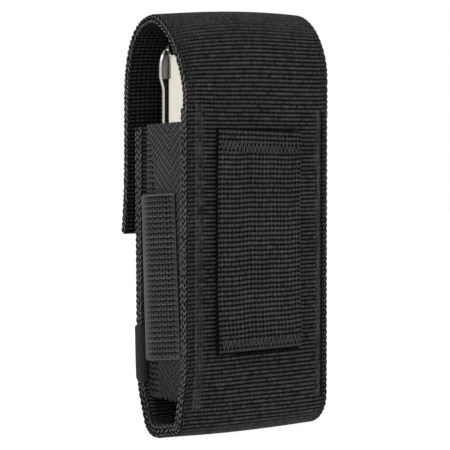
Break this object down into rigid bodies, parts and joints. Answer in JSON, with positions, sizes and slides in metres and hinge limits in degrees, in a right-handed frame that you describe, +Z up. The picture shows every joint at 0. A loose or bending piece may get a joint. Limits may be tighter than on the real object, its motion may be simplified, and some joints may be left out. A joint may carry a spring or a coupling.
{
  "type": "multi tool in a belt sheath",
  "caption": "Folded plier multi tool carried in a nylon webbing belt sheath with a fold-over flap, elastic side pockets and a belt loop.",
  "frame": {"origin": "middle of the sheath's flat underside, halfway between the front and back panels", "axes": "+Z up along the sheath, +Y out of the back where the belt loop is, +X across the webbing"},
  "size_m": [0.0528, 0.0352, 0.1222],
  "materials": {
    "webbing": "matte black ribbed nylon webbing",
    "elastic": "charcoal ribbed elastic",
    "twill": "charcoal herringbone twill tape",
    "touch_fastener": "black hook and loop pile",
    "satin_label": "plain satin tape",
    "thread": "dense zigzag sewing thread",
    "polished_steel": "polished stainless steel",
    "satin_steel": "satin stainless steel"
  },
  "bodies": {
    "sheath": {"sheath_webbing": "webbing", "gusset_right": "elastic", "gusset_left": "elastic", "twill_tape_right": "twill", "twill_tape_left": "twill", "side_pocket_right": "elastic", "side_pocket_left": "elastic", "loop_patch": "touch_fastener", "label_band": "satin_label", "belt_loop": "webbing", "bar_tack_top": "thread", "bar_tack_bottom": "thread"},
    "flap": {"flap_webbing": "webbing", "hook_patch": "touch_fastener"},
    "tool": {"handle_channel_right": "polished_steel", "plate_front_right": "polished_steel", "plate_rear_right": "polished_steel", "head_spacer_front_right": "satin_steel", "head_spacer_rear_right": "satin_steel", "base_pin_right": "satin_steel", "tang_pin_right": "satin_steel", "plier_jaw_right": "satin_steel", "handle_channel_left": "polished_steel", "plate_front_left": "polished_steel", "plate_rear_left": "polished_steel", "head_spacer_front_left": "satin_steel", "head_spacer_rear_left": "satin_steel", "base_pin_left": "satin_steel", "tang_pin_left": "satin_steel", "plier_jaw_left": "satin_steel", "jaw_pivot": "polished_steel", "knife_blade": "satin_steel", "saw_blade": "satin_steel", "serrated_blade": "satin_steel", "file": "satin_steel", "large_driver": "satin_steel", "small_driver": "satin_steel", "can_opener": "satin_steel", "cross_driver": "satin_steel", "bottle_opener": "satin_steel", "awl": "satin_steel"}
  },
  "joints": [
    {"name": "tool_draw", "type": "slide", "parent": "sheath", "child": "tool", "axis": [0, 0, 1], "range_m": [0, 0.118], "deforming": ["flap_webbing", "hook_patch"]},
    {"name": "flap_fold", "type": "hinge", "parent": "sheath", "child": "flap", "pos_m": [0, 0.0126, 0.096], "axis": [-1, 0, 0], "range_deg": [0, 160]}
  ],
  "couplings": [
    {"joint": "flap_fold", "follows": "tool_draw", "rad_per_m": 23.66}
  ]
}
